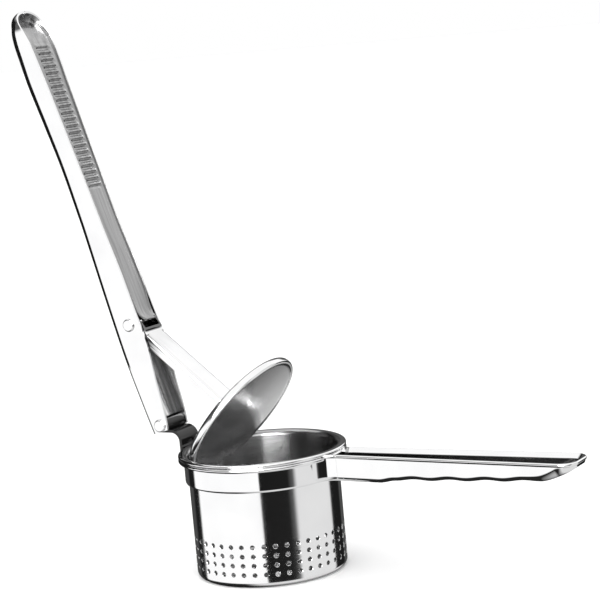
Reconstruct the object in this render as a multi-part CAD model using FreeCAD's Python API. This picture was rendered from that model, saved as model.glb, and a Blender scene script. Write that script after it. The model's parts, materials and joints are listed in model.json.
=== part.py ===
"""Potato ricer: a perforated cup in a handled collar, a hinged lever and a plunger disc.

Millimetres, +Z up. The origin is the centre of the cup's underside, +X points along the
lower handle, and the lever is hinged on the -X side. Everything is drawn in the open
position, with the lever leaning back and the plunger tilted at the mouth of the cup.
"""
import FreeCAD
import Part
import math
import os

Vector = FreeCAD.Vector
X_AXIS = Vector(1, 0, 0)
Y_AXIS = Vector(0, 1, 0)
Z_AXIS = Vector(0, 0, 1)

# ---- driving dimensions -------------------------------------------------------------
CUP_HEIGHT = 68.6            # underside of the cup to the top of its rim
CUP_RADIUS = 41.7            # outside of the cup's straight wall
RIM_RADIUS = 46.5            # outside of the rolled rims
CUP_SHEET = 0.6              # sheet thickness of the cup
HANDLE_SHEET = 1.2           # sheet thickness of the handles
HANDLE_END = 187.5           # cup axis to the free end of the lower handle
LEVER_LENGTH = 247.0         # hinge pin to the free end of the lever
OPEN_ANGLE = 106.6           # lever's length above the +X direction, in degrees
HINGE = Vector(-59.1, 0, 80.9)          # axis of the hinge pin
DISC_RADIUS = 39.35          # plunger disc
LINK_LENGTH = 83.3           # link pin to the disc's working face
LINK_ANGLE = -39.5           # direction of the push link in the open position

# ---- cup ----------------------------------------------------------------------------
CUP_CORNER = 3.0             # outside radius between wall and bottom
FLARE_RADIUS = 2.2           # outside radius where the wall turns out to the rim
ROLL_RADIUS = 1.1            # rolled edges of the cup, collar and handles
HOLE_DIAMETER = 2.6
HOLE_COLUMNS = 42
HOLE_TURN = math.pi / HOLE_COLUMNS + math.radians(0.7)     # first column, round from +X
HOLE_ROWS = 4
HOLE_ROW_PITCH = 5.1
FIRST_ROW_HEIGHT = 7.3
BOTTOM_RINGS = 6
BOTTOM_RING_PITCH = 5.6

# ---- collar and lower handle --------------------------------------------------------
COLLAR_RADIUS = 43.6
COLLAR_SHEET = 1.0
COLLAR_BOTTOM = 53.2
HANDLE_TOP = 67.7
HANDLE_ROOT_HALF = 9.4       # half width beside the collar
HANDLE_END_HALF = 12.4       # half width near the free end
HANDLE_CORNER = 6.0          # corners of the free end, in plan
ROOT_BLEND = 12.0            # where the handle's walls run into the collar
HANDLE_BEND = 4.2            # bend radius between the handle's sides and its underside
GRIP_START = 86.0            # first crest of the finger scallops
GRIP_PITCH = 21.0
GRIP_COUNT = 4
GRIP_DEPTH = 0.8
GRIP_FIRST_CREST = 53.9      # height of the first crest
GRIP_LAST_CREST = 57.3       # height of the last crest
GRIP_RUN_IN = 0.9            # the underside rises this much before the first crest
HANDLE_NOSE_RUN = 7.0        # a point on the nose, before the handle's end
HANDLE_NOSE_RISE = 3.6       # and above the last crest
LIP_OUT = 0.7                # how far the rolled top edge stands out
LIP_HEIGHT = 2.2

# ---- lever, in its own frame: s from the hinge pin, up towards its closed back ---------
LEVER_BACK = [(-3.5, 8.2), (42.0, 10.4), (120.0, 9.4), (158.0, 9.3), (208.0, 12.2), (226.0, 11.6)]
LEVER_BACK_TOP = 12.2        # the closed back is furthest out at the grip
LEVER_FRONT = [(238.0, -2.1), (227.0, -3.1), (200.0, -4.4), (120.0, -6.7), (90.0, -8.6),
               (66.0, -9.5), (47.0, -9.6), (30.0, -8.0), (12.0, -6.3), (-3.5, -4.2)]
LEVER_BEND_HEEL = 2.6        # bend radius between the sides and the back, at the heel
LEVER_BEND_GRIP = 9.0        # and at the grip
LEVER_HEEL = -3.5            # square-cut end behind the hinge pin
LEVER_HEEL_HALF = 10.5
LEVER_WAIST_HALF = 9.3
LEVER_WAIST = 120.0
LEVER_END_HALF = 12.3
LEVER_SHOULDER = 235.0       # where the rounded tip starts
NOSE_START = 226.0           # where the back starts to curve down to the tip
NOSE_RUN = 13.0              # a point half-way round the nose, beyond its start
NOSE_DROP = 3.4              # and below the back
TIP_LEVEL = -0.8
LINK_PIN = (59.0, -2.2)      # link pin, along and above the hinge pin
STRIP_LINE = [(59.0, -10.4), (61.0, -9.4), (64.0, -8.6), (70.0, -8.2), (80.0, -7.9),
              (100.0, -7.0), (142.0, -5.4), (200.0, -3.7), (219.0, -3.1), (233.0, -1.4)]
STRIP_SHEET = 1.0
STRIP_NECK = 73.0            # the strip is narrow up to here, between the link's ears
STRIP_NECK_HALF = 6.6
STRIP_GAP = 0.1              # between the strip and the lever's walls
RIB_COUNT = 21
RIB_PITCH = 4.0
FIRST_RIB = 141.0
RIB_LEVELS = (-5.4, -3.0)    # level of the strip's underside at the first and the last rib
RIB_RADIUS = 1.0
RIB_SINK = 0.3               # centre of a rib above the strip's underside
RIB_HALF_LENGTH = 6.5

# ---- pins, bracket and link -----------------------------------------------------------
HINGE_PIN_RADIUS = 2.45
LINK_PIN_RADIUS = 2.0
PIN_CLEARANCE = 0.05
HEAD_RADIUS = 3.6
HEAD_HEIGHT = 1.0
HEAD_GAP = 0.1
STRAP_SHEET = 1.6
STRAP_HALF = 8.8
STRAP_OUTER_X = -48.25       # outer face of the strap's upright leg
STRAP_BEND = 6.6             # outside radius of the bend above the leg
STRAP_FOOT_BOTTOM = 55.0
STRAP_STEP = 3.0             # height of the joggle between the leg and the foot
STRAP_SINK = 1.0             # the foot's inner face inside the collar's outer face
LINK_HALF = 8.2
LINK_SHEET = 1.2
LINK_DEPTH = 6.0             # web to free edges, centred on the pin's axis
WEB_START = 10.0             # pin to the start of the link's web
EAR_RADIUS = 6.5
EAR_ARC = (-62.4, 180.0, 80.0)           # start, middle and end of the ears' round end
EAR_SLOPE = [(2.6, 6.2), (9.6, 4.2)]     # the sloping plate from the ears down to the web
HOLLOW_REACH = 17.0          # the hollow between the ears goes past their round end
EAR_OVERLAP = 2.0            # the ears run this far into the channel
EAR_GAP = [(-17.0, -17.0), (8.4, -17.0), (8.4, 4.7), (5.5, 8.0), (5.5, 17.0), (-17.0, 17.0)]
DISC_DEPTH = 5.0
DISC_SHEET = 1.0
DISC_EDGE = 1.2              # curled edge on the working side
DISC_BACK_EDGE = 2.6         # rounding between the back and the edge


def plane_face(points, normal_axis):
    """Closed face through straight segments; points are given in the plane of the axis."""
    corners = [to_plane(p, normal_axis) for p in points]
    return Part.Face(Part.makePolygon(corners + [corners[0]]))


def to_plane(point, normal_axis, level=0.0):
    """Lift a 2-D point into XY (axis 'z') or XZ (axis 'y')."""
    if normal_axis == "z":
        return Vector(point[0], point[1], level)
    return Vector(point[0], level, point[1])


def wire_face(edges):
    """Face bounded by edges that are already in order."""
    return Part.Face(Part.Wire(edges))


def curve_through(points, normal_axis):
    spline = Part.BSplineCurve()
    spline.interpolate([to_plane(p, normal_axis) for p in points])
    return spline.toShape()


def segment(start, end, normal_axis):
    return Part.makeLine(to_plane(start, normal_axis), to_plane(end, normal_axis))


def arc(start, middle, end, normal_axis):
    ends = [to_plane(p, normal_axis) for p in (start, middle, end)]
    return Part.Arc(*ends).toShape()


def extrude_across(face, half_width):
    """Extrude a face drawn in XZ symmetrically across Y."""
    face = face.copy()
    face.translate(Vector(0, -half_width, 0))
    return face.extrude(Vector(0, 2 * half_width, 0))


def rod_across(x, z, radius, half_length):
    return Part.makeCylinder(radius, 2 * half_length, Vector(x, -half_length, z), Y_AXIS)


def place_lever(shape):
    """Move a shape from the lever's own frame to the open position."""
    shape = shape.copy()
    shape.rotate(Vector(0, 0, 0), Y_AXIS, -OPEN_ANGLE)
    shape.translate(HINGE)
    return shape


def place_link(shape):
    """Move a shape from the link's frame (x along it, from its pin) to the open position."""
    pin = place_lever(Part.Vertex(LINK_PIN[0], 0, LINK_PIN[1])).Point
    shape = shape.copy()
    shape.rotate(Vector(0, 0, 0), Y_AXIS, -LINK_ANGLE)
    shape.translate(pin)
    return shape


# ---- cup ----------------------------------------------------------------------------
def cup_shell():
    inner = CUP_RADIUS - CUP_SHEET
    flare_z = CUP_HEIGHT - CUP_SHEET - FLARE_RADIUS
    flare_x = CUP_RADIUS + FLARE_RADIUS
    edge_x = RIM_RADIUS - ROLL_RADIUS
    low = CUP_CORNER * (1 - math.sqrt(0.5))
    low_in = CUP_SHEET + (CUP_CORNER - CUP_SHEET) * (1 - math.sqrt(0.5))
    turn = FLARE_RADIUS * (1 - math.sqrt(0.5))
    turn_in = (FLARE_RADIUS + CUP_SHEET) * math.sqrt(0.5)
    rise_in = flare_z + (FLARE_RADIUS + CUP_SHEET) * math.sqrt(0.5)
    edges = [
        segment((0, 0), (CUP_RADIUS - CUP_CORNER, 0), "y"),
        arc((CUP_RADIUS - CUP_CORNER, 0), (CUP_RADIUS - low, low), (CUP_RADIUS, CUP_CORNER), "y"),
        segment((CUP_RADIUS, CUP_CORNER), (CUP_RADIUS, flare_z), "y"),
        arc((CUP_RADIUS, flare_z), (CUP_RADIUS + turn, flare_z + FLARE_RADIUS - turn),
            (flare_x, flare_z + FLARE_RADIUS), "y"),
        segment((flare_x, flare_z + FLARE_RADIUS), (edge_x, flare_z + FLARE_RADIUS), "y"),
        segment((edge_x, flare_z + FLARE_RADIUS), (edge_x, CUP_HEIGHT), "y"),
        segment((edge_x, CUP_HEIGHT), (flare_x, CUP_HEIGHT), "y"),
        arc((flare_x, CUP_HEIGHT), (flare_x - turn_in, rise_in), (inner, flare_z), "y"),
        segment((inner, flare_z), (inner, CUP_CORNER), "y"),
        arc((inner, CUP_CORNER), (inner - low_in + CUP_SHEET, low_in),
            (CUP_RADIUS - CUP_CORNER, CUP_SHEET), "y"),
        segment((CUP_RADIUS - CUP_CORNER, CUP_SHEET), (0, CUP_SHEET), "y"),
        segment((0, CUP_SHEET), (0, 0), "y"),
    ]
    sheet = wire_face(edges).revolve(Vector(0, 0, 0), Z_AXIS, 360)
    roll = Part.makeTorus(edge_x, ROLL_RADIUS, Vector(0, 0, CUP_HEIGHT - ROLL_RADIUS))
    return sheet.fuse(roll)


def cup_holes():
    radius = HOLE_DIAMETER / 2
    depth = 4 * CUP_SHEET
    holes = []
    for row in range(HOLE_ROWS):
        height = FIRST_ROW_HEIGHT + row * HOLE_ROW_PITCH
        for column in range(HOLE_COLUMNS):
            angle = 2 * math.pi * column / HOLE_COLUMNS + HOLE_TURN
            outward = Vector(math.cos(angle), math.sin(angle), 0)
            start = outward * (CUP_RADIUS - depth / 2 - CUP_SHEET / 2) + Vector(0, 0, height)
            holes.append(Part.makeCylinder(radius, depth, start, outward))
    for ring in range(1, BOTTOM_RINGS + 1):
        count = 6 * ring
        for step in range(count):
            angle = 2 * math.pi * step / count
            x = ring * BOTTOM_RING_PITCH * math.cos(angle)
            y = ring * BOTTOM_RING_PITCH * math.sin(angle)
            holes.append(Part.makeCylinder(radius, 3 * CUP_SHEET, Vector(x, y, -CUP_SHEET)))
    return holes


def basket_cup():
    return cup_shell().cut(Part.makeCompound(cup_holes()))


# ---- collar and lower handle --------------------------------------------------------
def collar():
    inner = COLLAR_RADIUS - COLLAR_SHEET
    roll_x = RIM_RADIUS - ROLL_RADIUS
    roll_z = CUP_HEIGHT - 3 * ROLL_RADIUS - PIN_CLEARANCE
    band = Part.makeCylinder(COLLAR_RADIUS, roll_z - COLLAR_BOTTOM, Vector(0, 0, COLLAR_BOTTOM))
    top_roll = Part.makeTorus(roll_x, ROLL_RADIUS, Vector(0, 0, roll_z))
    shoulder = Part.makeCylinder(roll_x, ROLL_RADIUS, Vector(0, 0, roll_z - ROLL_RADIUS))
    low_roll = Part.makeTorus(COLLAR_RADIUS - ROLL_RADIUS / 2, ROLL_RADIUS,
                              Vector(0, 0, COLLAR_BOTTOM))
    bore = Part.makeCylinder(inner, CUP_HEIGHT, Vector(0, 0, 0))
    body = band.multiFuse([top_roll, shoulder, low_roll]).cut(bore)
    cup_room = Part.makeCone(inner, RIM_RADIUS, RIM_RADIUS - inner,
                             Vector(0, 0, roll_z + ROLL_RADIUS / 2))
    return body.cut(cup_room)


def handle_half_width(x):
    share = (x - CUP_RADIUS) / (HANDLE_END - CUP_RADIUS)
    return HANDLE_ROOT_HALF + (HANDLE_END_HALF - HANDLE_ROOT_HALF) * share


def handle_plan(inset, start=0.0):
    """Plan outline of the handle, moved inwards by inset, from x = start to its end."""
    end = HANDLE_END - inset
    corner_x = HANDLE_END - HANDLE_CORNER
    root = handle_half_width(start) - inset
    tip = handle_half_width(corner_x) - inset
    reach = (HANDLE_CORNER - inset) * (1 - math.sqrt(0.5))
    flat = tip - (HANDLE_CORNER - inset)
    edges = [segment((start, -root), (corner_x, -tip), "z"),
             arc((corner_x, -tip), (end - reach, -tip + reach), (end, -flat), "z"),
             segment((end, -flat), (end, flat), "z"),
             arc((end, flat), (end - reach, tip - reach), (corner_x, tip), "z"),
             segment((corner_x, tip), (start, root), "z"),
             segment((start, root), (start, -root), "z")]
    return wire_face(edges)


def grip_underside(lift):
    """Points of the handle's underside: flat by the collar, scalloped, then the nose."""
    points = [(GRIP_START - GRIP_PITCH, GRIP_FIRST_CREST - GRIP_RUN_IN + lift)]
    rise = (GRIP_LAST_CREST - GRIP_FIRST_CREST) / GRIP_COUNT
    for finger in range(GRIP_COUNT):
        crest = (GRIP_START + finger * GRIP_PITCH, GRIP_FIRST_CREST + finger * rise)
        points.append((crest[0], crest[1] + lift))
        points.append((crest[0] + GRIP_PITCH / 2, crest[1] + rise / 2 + GRIP_DEPTH + lift))
    points.append((GRIP_START + GRIP_COUNT * GRIP_PITCH, GRIP_LAST_CREST + lift))
    nose = HANDLE_END - lift
    points.append((nose - HANDLE_NOSE_RUN, GRIP_LAST_CREST + HANDLE_NOSE_RISE + lift))
    points.append((nose, HANDLE_TOP - LIP_HEIGHT))
    return points


def handle_side(lift, start, top):
    """Side view of the handle between its underside, raised by lift, and the given top."""
    under = grip_underside(lift)
    first = under[0]
    last = under[-1]
    edges = [segment((start, COLLAR_BOTTOM + lift), first, "y"),
             curve_through(under, "y"),
             segment(last, (last[0], top), "y"),
             segment((last[0], top), (start, top), "y"),
             segment((start, top), (start, COLLAR_BOTTOM + lift), "y")]
    return wire_face(edges)


def handle_block(inset, top):
    tall = handle_plan(inset)
    tall.translate(Vector(0, 0, COLLAR_BOTTOM - HANDLE_SHEET))
    column = tall.extrude(Vector(0, 0, CUP_HEIGHT))
    block = column.common(extrude_across(handle_side(inset, 0.0, top), RIM_RADIUS))
    return block.makeFillet(HANDLE_BEND - inset, [e for e in block.Edges if runs_under(e)])


def runs_under(edge):
    """True for the long edges of the handle's underside and for those round its corners."""
    box = edge.BoundBox
    below_lip = box.ZMax < HANDLE_TOP - LIP_HEIGHT + LIP_OUT
    return below_lip and box.XLength > LIP_OUT and box.YLength < HANDLE_CORNER + LIP_OUT


def root_blend():
    """Concave corners between the collar and the handle's side walls."""
    half = handle_half_width(COLLAR_RADIUS)
    reach = COLLAR_RADIUS + ROOT_BLEND
    centre_y = half + ROOT_BLEND
    centre_x = math.sqrt(reach ** 2 - centre_y ** 2)
    height = HANDLE_TOP - LIP_HEIGHT - COLLAR_BOTTOM
    base = Vector(0, 0, COLLAR_BOTTOM)
    pieces = []
    for side in (-1, 1):
        corners = [(COLLAR_RADIUS - ROOT_BLEND, 0), (centre_x, 0),
                   (centre_x, side * centre_y),
                   (COLLAR_RADIUS * centre_x / reach, side * COLLAR_RADIUS * centre_y / reach)]
        wedge = plane_face(corners, "z")
        wedge.translate(base)
        wedge = wedge.extrude(Vector(0, 0, height))
        hollow = Part.makeCylinder(ROOT_BLEND, CUP_HEIGHT, Vector(centre_x, side * centre_y, 0))
        pieces.append(wedge.cut(hollow))
    return pieces


def lower_handle():
    outer = handle_block(0.0, HANDLE_TOP)
    inner = handle_block(HANDLE_SHEET, CUP_HEIGHT)
    lip_plan = handle_plan(-LIP_OUT)
    lip_plan.translate(Vector(0, 0, HANDLE_TOP - LIP_HEIGHT))
    lip = lip_plan.extrude(Vector(0, 0, LIP_HEIGHT))
    lip_edges = [e for e in lip.Edges if abs(e.BoundBox.ZLength) < 0.01]
    lip = lip.makeFillet(LIP_HEIGHT / 2 - 0.1, lip_edges)
    solid = outer.multiFuse([lip] + root_blend()).cut(inner)
    cup_bore = Part.makeCylinder(COLLAR_RADIUS - COLLAR_SHEET, CUP_HEIGHT)
    rim_room = Part.makeCylinder(RIM_RADIUS + PIN_CLEARANCE, CUP_HEIGHT,
                                 Vector(0, 0, CUP_HEIGHT - 4 * ROLL_RADIUS))
    handle = solid.cut(cup_bore).cut(rim_room)
    mouth = Part.makeBox(RIM_RADIUS, RIM_RADIUS, CUP_HEIGHT, Vector(RIM_RADIUS, -RIM_RADIUS / 2, 0))
    ring = collar().cut(inner.common(mouth))
    return ring.fuse(handle).removeSplitter()


# ---- hinge bracket ------------------------------------------------------------------
def hinge_bracket():
    bore = HINGE_PIN_RADIUS + PIN_CLEARANCE
    eye_outer = bore + STRAP_SHEET
    shelf_bottom = HINGE.z - eye_outer
    bend_x = STRAP_OUTER_X + STRAP_SHEET - STRAP_BEND
    bend_z = shelf_bottom + STRAP_SHEET - STRAP_BEND
    inner_bend = STRAP_BEND - STRAP_SHEET
    half_turn = math.sqrt(0.5)
    leg_face = STRAP_OUTER_X + STRAP_SHEET
    step_top = CUP_HEIGHT - 4 * ROLL_RADIUS - STRAP_SINK
    step_bottom = step_top - STRAP_STEP
    foot_outer = -COLLAR_RADIUS - STRAP_SHEET
    foot_inner = -COLLAR_RADIUS + STRAP_SINK
    edges = [
        segment((HINGE.x, shelf_bottom), (bend_x, shelf_bottom), "y"),
        arc((bend_x, shelf_bottom),
            (bend_x + inner_bend * half_turn, bend_z + inner_bend * half_turn),
            (STRAP_OUTER_X, bend_z), "y"),
        segment((STRAP_OUTER_X, bend_z), (STRAP_OUTER_X, step_top), "y"),
        segment((STRAP_OUTER_X, step_top), (foot_outer, step_bottom), "y"),
        segment((foot_outer, step_bottom), (foot_outer, STRAP_FOOT_BOTTOM), "y"),
        segment((foot_outer, STRAP_FOOT_BOTTOM), (foot_inner, STRAP_FOOT_BOTTOM), "y"),
        segment((foot_inner, STRAP_FOOT_BOTTOM), (foot_inner, step_bottom + STRAP_SINK), "y"),
        segment((foot_inner, step_bottom + STRAP_SINK), (leg_face, step_top + STRAP_SINK), "y"),
        segment((leg_face, step_top + STRAP_SINK), (leg_face, bend_z), "y"),
        arc((leg_face, bend_z),
            (bend_x + STRAP_BEND * half_turn, bend_z + STRAP_BEND * half_turn),
            (bend_x, shelf_bottom + STRAP_SHEET), "y"),
        segment((bend_x, shelf_bottom + STRAP_SHEET), (HINGE.x, shelf_bottom + STRAP_SHEET), "y"),
        segment((HINGE.x, shelf_bottom + STRAP_SHEET), (HINGE.x, shelf_bottom), "y"),
    ]
    strap = extrude_across(wire_face(edges), STRAP_HALF)
    eye = rod_across(HINGE.x, HINGE.z, eye_outer, STRAP_HALF)
    pin_hole = rod_across(HINGE.x, HINGE.z, bore, STRAP_HALF + 1)
    collar_room = Part.makeCylinder(COLLAR_RADIUS, CUP_HEIGHT)
    return strap.fuse(eye).cut(pin_hole).cut(collar_room).removeSplitter()


# ---- rivets -------------------------------------------------------------------------
def rivet(x, z, radius, half_length):
    """Shank across Y with a domed head at each end, outside |y| = half_length."""
    solid = rod_across(x, z, radius, half_length + HEAD_HEIGHT / 4)
    dome_radius = (HEAD_RADIUS ** 2 + HEAD_HEIGHT ** 2) / (2 * HEAD_HEIGHT)
    for side in (-1, 1):
        centre = Vector(x, side * (half_length + HEAD_HEIGHT - dome_radius), z)
        ball = Part.makeSphere(dome_radius, centre)
        slab = Part.makeCylinder(HEAD_RADIUS, HEAD_HEIGHT, Vector(x, side * half_length, z),
                                 Y_AXIS * side)
        solid = solid.fuse(ball.common(slab))
    return solid.removeSplitter()


def lever_half_width(s):
    """Half width of the lever, which narrows from the heel to a waist and then widens."""
    if s < LEVER_WAIST:
        share = (s - LEVER_HEEL) / (LEVER_WAIST - LEVER_HEEL)
        return LEVER_HEEL_HALF + (LEVER_WAIST_HALF - LEVER_HEEL_HALF) * share
    share = (s - LEVER_WAIST) / (LEVER_SHOULDER - LEVER_WAIST)
    return LEVER_WAIST_HALF + (LEVER_END_HALF - LEVER_WAIST_HALF) * share


def hinge_rivet():
    half = lever_half_width(0) + HEAD_GAP
    return place_lever(rivet(0, 0, HINGE_PIN_RADIUS, half))


def link_rivet():
    half = lever_half_width(LINK_PIN[0]) + HEAD_GAP
    return place_lever(rivet(LINK_PIN[0], LINK_PIN[1], LINK_PIN_RADIUS, half))


# ---- lever --------------------------------------------------------------------------
def lever_plan(inset, start):
    end = LEVER_LENGTH - inset
    root = lever_half_width(start) - inset
    waist = LEVER_WAIST_HALF - inset
    shoulder = LEVER_END_HALF - inset
    edges = [segment((start, -root), (LEVER_WAIST, -waist), "z"),
             segment((LEVER_WAIST, -waist), (LEVER_SHOULDER, -shoulder), "z"),
             arc((LEVER_SHOULDER, -shoulder), (end, 0), (LEVER_SHOULDER, shoulder), "z"),
             segment((LEVER_SHOULDER, shoulder), (LEVER_WAIST, waist), "z"),
             segment((LEVER_WAIST, waist), (start, root), "z"),
             segment((start, root), (start, -root), "z")]
    return wire_face(edges)


def lever_back_level(s):
    """Height of the closed back: straight stretches, further out at the link and at the grip."""
    ahead = next(i for i in range(1, len(LEVER_BACK)) if s <= LEVER_BACK[i][0])
    low, low_level = LEVER_BACK[ahead - 1]
    high, high_level = LEVER_BACK[ahead]
    return low_level + (high_level - low_level) * (s - low) / (high - low)


def lever_back_edges(inset, start):
    """Edges along the back from the given start to the tip, and the tip's own point."""
    stations = [start] + [s for s, level in LEVER_BACK if s > start]
    line = [(s, lever_back_level(s) - inset) for s in stations]
    middle = (NOSE_START + NOSE_RUN, line[-1][1] - NOSE_DROP)
    nose = [line[-1], middle, (LEVER_LENGTH - inset, TIP_LEVEL)]
    edges = [segment(a, b, "y") for a, b in zip(line, line[1:])]
    edges.append(curve_through(nose, "y"))
    return edges, line[0], nose[-1]


def lever_side_outer():
    """Side view: the back, and a front edge that is deepest beside the link pin."""
    edges, heel, tip = lever_back_edges(0.0, LEVER_HEEL)
    edges.append(curve_through([tip] + LEVER_FRONT, "y"))
    edges.append(segment(LEVER_FRONT[-1], heel, "y"))
    return wire_face(edges)


def lever_side_inner():
    start = LEVER_HEEL - 5
    edges, heel, tip = lever_back_edges(HANDLE_SHEET, start)
    deep = -2 * LEVER_BACK_TOP
    edges += [segment(tip, (tip[0], deep), "y"),
              segment((tip[0], deep), (start, deep), "y"),
              segment((start, deep), heel, "y")]
    return wire_face(edges)


def lever_prism(inset, start):
    plan = lever_plan(inset, start)
    plan.translate(Vector(0, 0, -3 * LEVER_BACK_TOP))
    return plan.extrude(Vector(0, 0, 5 * LEVER_BACK_TOP))


def lever_bend(s):
    """Bend radius between the lever's sides and its back; the grip is rounder."""
    share = (s - LEVER_HEEL) / (NOSE_START - LEVER_HEEL)
    return LEVER_BEND_HEEL + (LEVER_BEND_GRIP - LEVER_BEND_HEEL) * share


def round_back(solid, inset):
    """Round the two long edges of the back, one stretch of the back after another."""
    stations = [s for s, level in LEVER_BACK]
    for side in (-1, 1):
        for low, high in zip(stations, stations[1:]):
            solid = solid.cut(corner_sliver(side, low, high, inset))
    return solid


def corner_sliver(side, low, high, inset):
    """What a rounded back edge leaves off a square one, between two stations."""
    over = HANDLE_SHEET / 2
    sections = []
    for s in (low, high):
        radius = lever_bend(s) - inset
        half = lever_half_width(s) - inset
        back = lever_back_level(s) - inset
        wall_y = side * half
        centre_y = side * (half - radius)
        middle = radius * math.sqrt(0.5)
        points = [Vector(s, wall_y, back - radius),
                  Vector(s, centre_y + side * middle, back - radius + middle),
                  Vector(s, centre_y, back)]
        out = [Vector(s, centre_y, back + over), Vector(s, wall_y + side * over, back + over),
               Vector(s, wall_y + side * over, back - radius)]
        edges = [Part.Arc(*points).toShape(), Part.makeLine(points[2], out[0]),
                 Part.makeLine(out[0], out[1]), Part.makeLine(out[1], out[2]),
                 Part.makeLine(out[2], points[0])]
        sections.append(Part.Wire(edges))
    return Part.makeLoft(sections, True, True)


def upper_lever():
    outer = lever_prism(0.0, LEVER_HEEL).common(extrude_across(lever_side_outer(), RIM_RADIUS))
    outer = round_back(outer, 0.0)
    inner = lever_prism(HANDLE_SHEET, LEVER_HEEL - 5)
    inner = inner.common(extrude_across(lever_side_inner(), RIM_RADIUS))
    inner = round_back(inner, HANDLE_SHEET)
    channel = outer.cut(inner)
    hinge_hole = rod_across(0, 0, HINGE_PIN_RADIUS + PIN_CLEARANCE, RIM_RADIUS)
    link_hole = rod_across(LINK_PIN[0], LINK_PIN[1], LINK_PIN_RADIUS + PIN_CLEARANCE, RIM_RADIUS)
    return place_lever(channel.cut(hinge_hole).cut(link_hole))


def offset_line(points, distance):
    """The same line of points moved sideways, towards its left."""
    moved = []
    for index, point in enumerate(points):
        before = points[max(index - 1, 0)]
        after = points[min(index + 1, len(points) - 1)]
        run = after[0] - before[0]
        rise = after[1] - before[1]
        length = math.hypot(run, rise)
        moved.append((point[0] - rise / length * distance, point[1] + run / length * distance))
    return moved


def strip_side():
    """Side view of the strip: flared end, ramp between the link's ears, then the long panel."""
    upper = offset_line(STRIP_LINE, STRIP_SHEET)
    edges = [curve_through(STRIP_LINE, "y"),
             segment(STRIP_LINE[-1], upper[-1], "y"),
             curve_through(list(reversed(upper)), "y"),
             segment(upper[0], STRIP_LINE[0], "y")]
    return wire_face(edges)


def grip_strip():
    """Strip that closes the lever's underside, ribbed under the fingers, flared at its end."""
    sheet = extrude_across(strip_side(), LEVER_END_HALF)
    plan = lever_plan(HANDLE_SHEET + STRIP_GAP, STRIP_NECK)
    neck_start = STRIP_LINE[0][0] - 2 * STRIP_SHEET
    neck_end = STRIP_NECK + STRIP_SHEET
    neck = plane_face([(neck_start, -STRIP_NECK_HALF), (neck_end, -STRIP_NECK_HALF),
                       (neck_end, STRIP_NECK_HALF), (neck_start, STRIP_NECK_HALF)], "z")
    outline = plan.fuse(neck)
    outline.translate(Vector(0, 0, -2 * LEVER_BACK_TOP))
    solid = sheet.common(outline.extrude(Vector(0, 0, 4 * LEVER_BACK_TOP)))
    for rib in range(RIB_COUNT):
        share = rib / (RIB_COUNT - 1)
        level = RIB_LEVELS[0] + (RIB_LEVELS[1] - RIB_LEVELS[0]) * share
        s = FIRST_RIB + rib * RIB_PITCH
        solid = solid.fuse(rod_across(s, level + RIB_SINK, RIB_RADIUS, RIB_HALF_LENGTH))
    return place_lever(solid.removeSplitter())


# ---- push link and plunger ----------------------------------------------------------
def ear_outline():
    """Side view of the link's ears round the pin, in the link's frame."""
    half_depth = LINK_DEPTH / 2
    turns = [math.radians(angle) for angle in EAR_ARC]
    start, middle, end = [(EAR_RADIUS * math.cos(a), EAR_RADIUS * math.sin(a)) for a in turns]
    web = WEB_START + EAR_OVERLAP
    corners = [end] + EAR_SLOPE + [(WEB_START, half_depth), (web, half_depth),
                                   (web, -half_depth), start]
    return [arc(start, middle, end, "y")] + [segment(a, b, "y") for a, b in zip(corners, corners[1:])]


def push_link():
    half_depth = LINK_DEPTH / 2
    length = LINK_LENGTH - DISC_DEPTH - WEB_START
    body = Part.makeBox(length, 2 * LINK_HALF, LINK_DEPTH,
                        Vector(WEB_START, -LINK_HALF, -half_depth))
    edges = [e for e in body.Edges
             if e.BoundBox.XLength > 1 and e.CenterOfMass.z > 0]
    body = body.makeFillet(2 * LINK_SHEET, edges)
    ears = extrude_across(wire_face(ear_outline()), LINK_HALF)
    hollow = Part.makeBox(LINK_LENGTH + HOLLOW_REACH, 2 * (LINK_HALF - LINK_SHEET), HOLLOW_REACH,
                          Vector(-HOLLOW_REACH, LINK_SHEET - LINK_HALF,
                                 half_depth - LINK_SHEET - HOLLOW_REACH))
    ear_gap = extrude_across(plane_face(EAR_GAP, "y"), LINK_HALF - LINK_SHEET)
    pin_hole = rod_across(0, 0, LINK_PIN_RADIUS + PIN_CLEARANCE, RIM_RADIUS)
    link = body.fuse(ears).cut(hollow).cut(ear_gap).cut(pin_hole)
    return place_link(link.removeSplitter())


def plunger_disc():
    """Shallow pan: flat back towards the link, edge curled round to the working side."""
    back_x = LINK_LENGTH - DISC_DEPTH
    slab = Part.makeCylinder(DISC_RADIUS, DISC_DEPTH, Vector(back_x, 0, 0), X_AXIS)
    back = min((e for e in slab.Edges if e.Closed), key=lambda e: e.CenterOfMass.x)
    slab = slab.makeFillet(DISC_BACK_EDGE, [back])
    front = max((e for e in slab.Edges if e.Closed), key=lambda e: e.CenterOfMass.x)
    slab = slab.makeFillet(DISC_EDGE, [front])
    recess_radius = DISC_RADIUS - 2 * DISC_EDGE
    recess = Part.makeCylinder(recess_radius, DISC_DEPTH, Vector(back_x + DISC_SHEET, 0, 0), X_AXIS)
    floor_edge = min((e for e in recess.Edges if e.Closed), key=lambda e: e.CenterOfMass.x)
    recess = recess.makeFillet(2 * DISC_SHEET, [floor_edge])
    return place_link(slab.cut(recess))


NODES = {
    "basket_cup": basket_cup,
    "lower_handle": lower_handle,
    "hinge_bracket": hinge_bracket,
    "hinge_rivet": hinge_rivet,
    "upper_lever": upper_lever,
    "grip_strip": grip_strip,
    "link_rivet": link_rivet,
    "push_link": push_link,
    "plunger_disc": plunger_disc,
}

os.makedirs("parts", exist_ok=True)
for name, make in NODES.items():
    part = make()
    print(name, "solids", len(part.Solids), "valid", part.isValid(), "volume", round(part.Volume, 1))
    part.exportStep("parts/%s.step" % name)
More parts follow.
